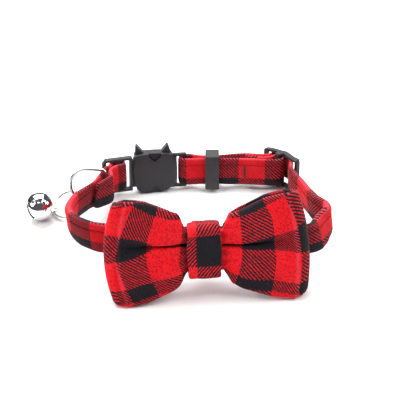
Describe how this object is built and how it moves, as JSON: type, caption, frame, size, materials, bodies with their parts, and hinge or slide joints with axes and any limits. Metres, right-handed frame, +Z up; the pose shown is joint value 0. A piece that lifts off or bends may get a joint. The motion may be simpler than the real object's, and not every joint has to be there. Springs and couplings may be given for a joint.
{
  "type": "pet bow tie collar",
  "caption": "Small pet collar: plaid strap loop with a slide adjuster, cat head release buckle, D-ring with round bell, and a pleated plaid bow tie on an elastic loop.",
  "frame": {"origin": "the middle of the whole box's underside, on the floor that the collar rests on", "axes": "+X to the right as seen from the bow, +Y from the bow to the buckle, +Z up"},
  "size_m": [0.1084, 0.0793, 0.0331],
  "materials": {
    "plaid_flannel": "brushed plaid flannel",
    "plaid_flannel_bow": "brushed plaid flannel",
    "plaid_flannel_knot": "brushed plaid flannel",
    "black_elastic": "woven elastic",
    "black_plastic": "fine matte moulded",
    "plated_steel": "polished plate",
    "bell_chrome": "polished plate"
  },
  "bodies": {
    "root": {"collar_band": "plaid_flannel", "bow_wings": "plaid_flannel_bow", "bow_knot": "plaid_flannel_knot", "bow_elastic": "black_elastic", "cat_head_buckle": "black_plastic", "buckle_insert": "black_plastic", "strap_keeper": "black_plastic", "slider": "black_plastic", "d_ring": "plated_steel", "bell_ring": "plated_steel", "bell": "bell_chrome", "bell_pellet": "plated_steel"}
  },
  "joints": []
}
